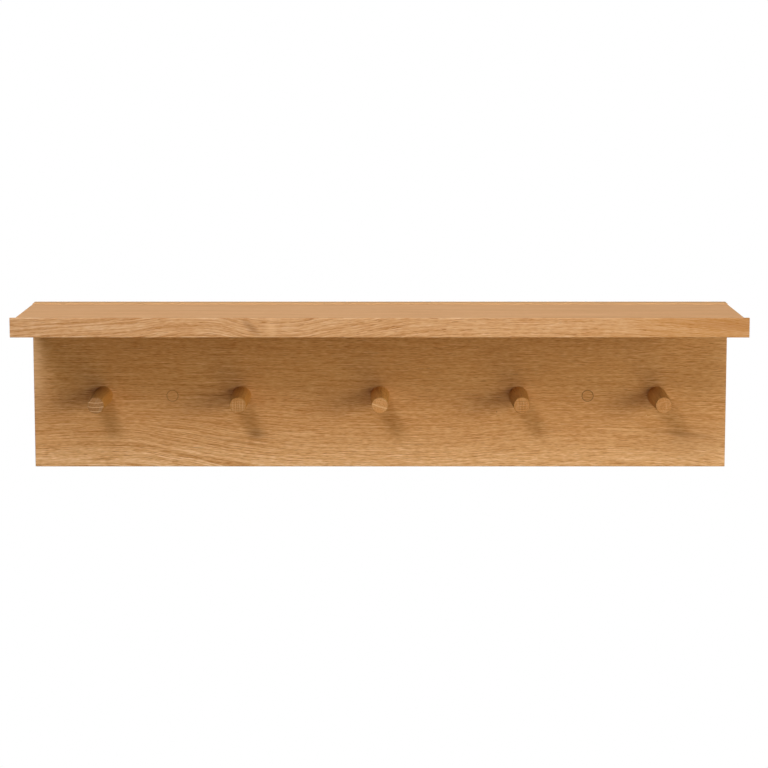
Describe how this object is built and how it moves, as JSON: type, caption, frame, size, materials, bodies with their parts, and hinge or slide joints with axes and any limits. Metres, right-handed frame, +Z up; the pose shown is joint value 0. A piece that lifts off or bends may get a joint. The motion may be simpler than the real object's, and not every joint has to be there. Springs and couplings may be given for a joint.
{
  "type": "shaker peg rail with shelf",
  "caption": "Wall-hung oak peg rail: a long flat board with a row of plain turned pegs, and a shelf above with a raised front lip.",
  "frame": {"origin": "on the wall plane at the board's back face, halfway along the rail, at the height of the peg line, where the wall screws come through", "axes": "+X along the rail to the right as seen from the front, +Y into the wall, +Z up"},
  "size_m": [0.75, 0.16, 0.182],
  "materials": {
    "oak_board": "planed oak with fine pores and flowing grain, oiled to a soft satin",
    "oak_shelf": "planed straight-grained oak, oiled to a soft satin",
    "oak_lip": "planed crown-cut oak strip, oiled to a soft satin",
    "oak_peg": "turned and sanded oak, oiled, with end grain on the tip",
    "oak_plug": "flush oak face-grain plug, sanded and oiled",
    "beech_dowel": "raw turned beech",
    "zinc_screw": "bright zinc-plated steel"
  },
  "bodies": {
    "root": {"back_board": "oak_board", "shelf_board": "oak_shelf", "front_lip": "oak_lip", "peg_1": "oak_peg", "peg_2": "oak_peg", "peg_3": "oak_peg", "peg_4": "oak_peg", "peg_5": "oak_peg", "cover_plug_left": "oak_plug", "cover_plug_right": "oak_plug", "shelf_dowel_1": "beech_dowel", "shelf_dowel_2": "beech_dowel", "shelf_dowel_3": "beech_dowel", "shelf_dowel_4": "beech_dowel", "shelf_dowel_5": "beech_dowel", "shelf_screw_1": "zinc_screw", "shelf_screw_2": "zinc_screw", "shelf_screw_3": "zinc_screw", "shelf_screw_4": "zinc_screw"}
  },
  "joints": []
}
